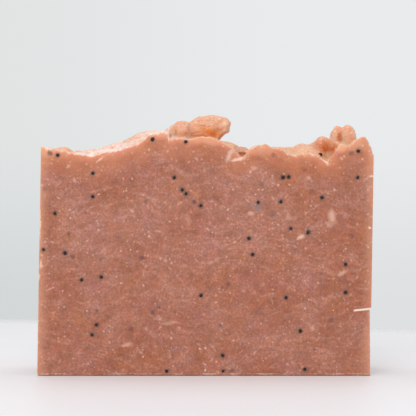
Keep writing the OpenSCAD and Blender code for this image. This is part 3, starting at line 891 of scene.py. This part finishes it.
def torn_soap_and_foot_highlight(tree, mm, marks, front):
    """Pale torn soap along the rim and at the crack's lips, and a painted highlight along the foot."""
    ragged = add(tree, "ShaderNodeTexNoise", {"Vector": mm, "Scale": 1 / 0.8, "Detail": 3.0})
    torn = add(tree, "ShaderNodeMapRange", {
        0: ragged, 1: 0.42, 2: 0.58, 3: 0.2, 4: 0.85
    }, interpolation_type="SMOOTHSTEP")
    rim = add(tree, "ShaderNodeMapRange", {
        0: marks["rim"], 1: 0.1, 2: 0.6, 3: 0.5, 4: 0.0
    }, interpolation_type="SMOOTHSTEP")
    stretch = add(tree, "ShaderNodeTexNoise", {"Vector": mm, "Scale": 1 / 6, "Detail": 1.0})
    patchy = add(tree, "ShaderNodeMapRange", {
        0: stretch, 1: 0.4, 2: 0.6, 3: 0.15, 4: 1.0
    }, interpolation_type="SMOOTHSTEP")
    place = add(tree, "ShaderNodeSeparateXYZ", {0: mm})
    # Painted highlight along the foot, a pale line just over the bottom edge
    off_foot = add(tree, "ShaderNodeMath", {0: place.outputs[2], 1: 0.5}, operation="SUBTRACT")
    off_foot = add(tree, "ShaderNodeMath", {0: off_foot}, operation="ABSOLUTE")
    foot = add(tree, "ShaderNodeMapRange", {
        0: off_foot, 1: 0.1, 2: 0.45, 3: 0.5, 4: 0.0
    }, interpolation_type="SMOOTHSTEP")

    # The crack runs in from the side and falls a little on the way
    corner = FOOT_LEFT + BAR_WIDTH + LEAN * CRACK_HEIGHT
    inward = add(tree, "ShaderNodeMath", {0: corner, 1: place.outputs[0]}, operation="SUBTRACT")
    fall = add(tree, "ShaderNodeMath", {0: inward, 1: CRACK_FALL}, operation="MULTIPLY")
    level = add(tree, "ShaderNodeMath", {0: CRACK_HEIGHT, 1: fall}, operation="SUBTRACT")
    off_crack = add(tree, "ShaderNodeMath", {0: place.outputs[2], 1: level}, operation="SUBTRACT")
    off_crack = add(tree, "ShaderNodeMath", {0: off_crack}, operation="ABSOLUTE")
    lips = add(tree, "ShaderNodeMapRange", {
        0: off_crack, 1: 0.12, 2: 0.4, 3: 1.0, 4: 0.0
    }, interpolation_type="SMOOTHSTEP")
    along = add(tree, "ShaderNodeMapRange", {
        0: inward, 1: CRACK_LENGTH - 0.6, 2: CRACK_LENGTH, 3: 1.0, 4: 0.0
    })
    crack = add(tree, "ShaderNodeMath", {0: lips, 1: along}, operation="MULTIPLY")
    crack = add(tree, "ShaderNodeMath", {0: crack, 1: front}, operation="MULTIPLY")

    strip = add(tree, "ShaderNodeMath", {0: rim, 1: foot}, operation="MAXIMUM")
    strip = add(tree, "ShaderNodeMath", {0: strip, 1: torn}, operation="MULTIPLY")
    strip = add(tree, "ShaderNodeMath", {0: strip, 1: patchy}, operation="MULTIPLY")
    for marked, reach in ((EDGE_CHIPS, 0.7), (TORN_STREAKS, 1.2)):
        pale = ovals(tree, wander(tree, mm, 1.0, reach), marked)
        pale = add(tree, "ShaderNodeMath", {0: pale, 1: front}, operation="MULTIPLY")
        strip = add(tree, "ShaderNodeMath", {0: strip, 1: pale}, operation="MAXIMUM")
    return add(tree, "ShaderNodeMath", {0: strip, 1: crack}, operation="MAXIMUM")


def soap_material():
    """Cold-process soap, cast in one pour and cut by a wire.

    It is translucent like dense wax, so light bleeds a few millimetres through edges and
    thin curls. Clouds of clay and rose lie in it with pale grains of undissolved soap. The
    whisked top dries lighter, with ash on its crests, and its folds are painted an orange glow.
    """
    material, tree = new_material("cold_process_soap_wire_cut")
    place = add(tree, "ShaderNodeTexCoord").outputs["Object"]
    mm = add(tree, "ShaderNodeVectorMath", {0: place, "Scale": 1 / MM}, operation="SCALE")
    marks = {
        name: add(tree, "ShaderNodeAttribute", attribute_name=name).outputs["Fac"]
        for name in ("crust", "rim", "edge", "seed_shade", "upward", "hollow")
    }
    parts = add(tree, "ShaderNodeSeparateXYZ", {0: mm})
    front = add(tree, "ShaderNodeMapRange", {
        0: parts.outputs[1], 1: BAR_LOW.y + 0.2, 2: BAR_LOW.y + 0.6, 3: 1.0, 4: 0.0
    })
    colour = cloudy_paste(tree, mm, front)
    colour = light_let_through(tree, mm, marks, front, colour)
    grains = pale_grains(tree, mm)
    colour = add(tree, "ShaderNodeMix", {0: grains, 6: colour, 7: linear("#DFBCA7")}, data_type="RGBA")
    colour = things_inside(tree, mm, front, colour)
    # Painted shade in the soap round each seed
    painted_seed_shade = add(tree, "ShaderNodeMath", {0: marks["seed_shade"], 1: RING_DARK}, operation="MULTIPLY")
    colour = add(tree, "ShaderNodeMix", {0: painted_seed_shade, 6: colour, 7: linear("#5A3A34")}, data_type="RGBA")
    crust = whisked_crust(tree, mm, marks)
    colour = add(tree, "ShaderNodeMix", {0: marks["crust"], 6: colour, 7: crust}, data_type="RGBA")
    # Pale torn soap, with a painted highlight along the foot
    torn = torn_soap_and_foot_highlight(tree, mm, marks, front)
    colour = add(tree, "ShaderNodeMix", {0: torn, 6: colour, 7: linear("#F4DCCD")}, data_type="RGBA")

    # Drag marks and pores of the cut, drawn at a pixel, with the grains standing a little proud
    pores = add(tree, "ShaderNodeTexNoise", {"Vector": mm, "Scale": 1 / 0.4, "Detail": 3.0})
    height = add(tree, "ShaderNodeMath", {0: grains, 1: pores}, operation="ADD")
    bump = add(tree, "ShaderNodeBump", {"Strength": 0.35, "Distance": 0.08 * MM, "Height": height})
    waxy = add(tree, "ShaderNodeTexNoise", {"Vector": mm, "Scale": 1 / 1.8, "Detail": 2.0})
    rough = add(tree, "ShaderNodeMapRange", {0: waxy, 1: 0.3, 2: 0.7, 3: 0.5, 4: 0.68})
    shader = add(tree, "ShaderNodeBsdfPrincipled", {
        "Base Color": colour, "Roughness": rough, "IOR": 1.47, "Normal": bump,
        "Subsurface Weight": 1.0, "Subsurface Radius": (1.0, 0.4, 0.2),
        "Subsurface Scale": 3.0 * MM
    })
    add(tree, "ShaderNodeOutputMaterial", {0: shader})
    return material


# The other materials


def seed_material():
    """Dry poppy seed: a hard blue-black coat with a fine net, so it glints in small points."""
    material, tree = new_material("poppy_seed_coat")
    place = add(tree, "ShaderNodeTexCoord").outputs["Object"]
    # The real net has cells of 0.1 mm, drawn here at 0.2 mm
    net = add(tree, "ShaderNodeTexVoronoi", {
        "Vector": place, "Scale": 1 / (0.2 * MM)
    }, feature="DISTANCE_TO_EDGE")
    worn = add(tree, "ShaderNodeTexNoise", {"Vector": place, "Scale": 1 / (0.4 * MM)})
    colour = add(tree, "ShaderNodeMix", {
        0: worn, 6: linear("#120C0D"), 7: linear("#2B2226")
    }, data_type="RGBA")
    bump = add(tree, "ShaderNodeBump", {"Strength": 0.6, "Distance": 0.04 * MM, "Height": net})
    shader = add(tree, "ShaderNodeBsdfPrincipled", {
        "Base Color": colour, "Roughness": 0.42, "Specular IOR Level": 0.3, "Normal": bump
    })
    add(tree, "ShaderNodeOutputMaterial", {0: shader})
    return material


def ash_material():
    """Soda ash, the dry powder that lye draws out: chalky and nearly white."""
    material, tree = new_material("soda_ash")
    place = add(tree, "ShaderNodeTexCoord").outputs["Object"]
    tint = add(tree, "ShaderNodeTexNoise", {"Vector": place, "Scale": 1 / (2 * MM)})
    colour = add(tree, "ShaderNodeMix", {
        0: tint, 6: linear("#E0AF92"), 7: linear("#F3DCCD")
    }, data_type="RGBA")
    shader = add(tree, "ShaderNodeBsdfPrincipled", {
        "Base Color": colour, "Roughness": 0.85, "Subsurface Weight": 0.5,
        "Subsurface Radius": (1.0, 0.6, 0.4), "Subsurface Scale": 0.6 * MM
    })
    add(tree, "ShaderNodeOutputMaterial", {0: shader})
    return material


def table_material():
    """Painted board, satin and pale, fading out of focus at its far edge."""
    material, tree = new_material("satin_painted_board")
    place = add(tree, "ShaderNodeTexCoord").outputs["Object"]
    faint = add(tree, "ShaderNodeTexNoise", {
        "Vector": place, "Scale": 1 / (30 * MM), "Detail": 2.0
    })
    colour = add(tree, "ShaderNodeMix", {
        0: faint, 6: linear("#E8E7EA"), 7: linear("#ECEBEE")
    }, data_type="RGBA")
    shader = add(tree, "ShaderNodeBsdfPrincipled", {
        "Base Color": colour, "Roughness": 0.5, "Specular IOR Level": 0.4
    })
    clear = add(tree, "ShaderNodeBsdfTransparent")
    fade = add(tree, "ShaderNodeAttribute", attribute_name="fade").outputs["Fac"]
    surface = add(tree, "ShaderNodeMixShader", {0: fade, 1: shader, 2: clear})
    add(tree, "ShaderNodeOutputMaterial", {0: surface})
    return material


# Stage, light and camera


def build_table():
    """A pale table top that ends softly behind the bar, further off on the left."""
    far = [(-3000, 250), (-100, 205), (86, 130), (3000, 110)]
    soft = 40
    rows = [
        [(x, -3000, 0) for x, y in far],
        [(x, y, 0) for x, y in far],
        [(x, y + soft, 0) for x, y in far]
    ]
    points = [tuple(c * MM for c in p) for row in rows for p in row]
    n = len(far)
    corners = [r * n + c for r in (0, 1) for c in range(n - 1)]
    mesh = bpy.data.meshes.new("table_top")
    mesh.from_pydata(points, [], [(k, k + 1, k + n + 1, k + n) for k in corners])
    store(mesh, "fade", [0] * n + [0] * n + [1] * n)
    mesh.materials.append(table_material())
    table = new_object("table_top", mesh)
    return table


def build_light():
    """Soft daylight from all round, a little stronger from above and from in front."""
    world = bpy.data.worlds.new("studio")
    bpy.context.scene.world = world
    world.use_nodes = True
    tree = world.node_tree
    tree.nodes.clear()
    way = add(tree, "ShaderNodeTexCoord").outputs["Generated"]
    parts = add(tree, "ShaderNodeSeparateXYZ", {0: way})
    rise = add(tree, "ShaderNodeMapRange", {
        0: parts.outputs[2], 1: -0.06, 2: 0.12
    }, interpolation_type="SMOOTHSTEP")
    across = add(tree, "ShaderNodeMapRange", {
        0: parts.outputs[0], 1: -0.2, 2: 0.1
    }, interpolation_type="SMOOTHSTEP")
    low = add(tree, "ShaderNodeMix", {
        0: across, 6: linear("#D3D7D8"), 7: linear("#DEE0E2")
    }, data_type="RGBA")
    high = add(tree, "ShaderNodeMix", {
        0: across, 6: linear("#E2E4E4"), 7: linear("#E9EBED")
    }, data_type="RGBA")
    seen = add(tree, "ShaderNodeMix", {0: rise, 6: low, 7: high}, data_type="RGBA")
    shown = add(tree, "ShaderNodeBackground", {"Color": seen, "Strength": 1.0})
    light = add(tree, "ShaderNodeBackground", {"Color": linear("#FFFFFF"), "Strength": 0.56})
    rays = add(tree, "ShaderNodeLightPath")
    direct = add(tree, "ShaderNodeMath", {
        0: rays.outputs["Is Camera Ray"], 1: rays.outputs["Is Glossy Ray"]
    }, operation="MAXIMUM")
    through = add(tree, "ShaderNodeMath", {
        0: direct, 1: rays.outputs["Is Transmission Ray"]
    }, operation="MAXIMUM")
    mix = add(tree, "ShaderNodeMixShader", {0: through, 1: light, 2: shown})
    add(tree, "ShaderNodeOutputWorld", {0: mix})

    # Lamps: name, place, what it points at, width and power in watts
    lamps = [
        ("overhead", (-30, 80, 700), (0, 0, 30), 600, 1.75),
        ("window", (-135, -840, 540), (0, 0, 30), 630, 4.9)
    ]
    for name, spot, target, width, power in lamps:
        data = bpy.data.lights.new(name, "AREA")
        data.shape = "SQUARE"
        data.size = width * MM
        data.energy = power
        lamp = bpy.data.objects.new(name, data)
        lamp.location = Vector(spot) * MM
        lamp.rotation_euler = (Vector(target) - Vector(spot)).to_track_quat("-Z", "Y").to_euler()
        bpy.context.scene.collection.objects.link(lamp)


def build_camera():
    """A level lens in front of the cut, framed as the photograph is."""
    width = PHOTO_PX * MM_PER_PX
    middle = PHOTO_PX / 2
    data = bpy.data.cameras.new("camera")
    data.sensor_width = SENSOR
    data.lens = SENSOR * LENS_DISTANCE / width
    data.shift_y = ((BASE_ROW - middle) * MM_PER_PX - LENS_HEIGHT) / width
    data.clip_start = 0.01
    data.clip_end = 20
    camera = bpy.data.objects.new("camera", data)
    across = (middle - MIDDLE_COLUMN) * MM_PER_PX
    camera.location = Vector((across, BAR_LOW.y - LENS_DISTANCE, LENS_HEIGHT)) * MM
    camera.rotation_euler = (math.radians(90), 0, 0)
    bpy.context.scene.collection.objects.link(camera)
    bpy.context.scene.camera = camera


CUT_SOAP = soap_material()
SEED_COAT = seed_material()
SODA_ASH = ash_material()

build_camera()
build_light()
build_table()

soap = build_soap()
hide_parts("soap_bar")
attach(soap, "root")

seeds = build_seeds()
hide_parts("poppy_seeds")
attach(seeds, "root")

crumbs = build_crumbs(soap)
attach(crumbs, "root")

bpy.context.scene.view_settings.view_transform = "Standard"
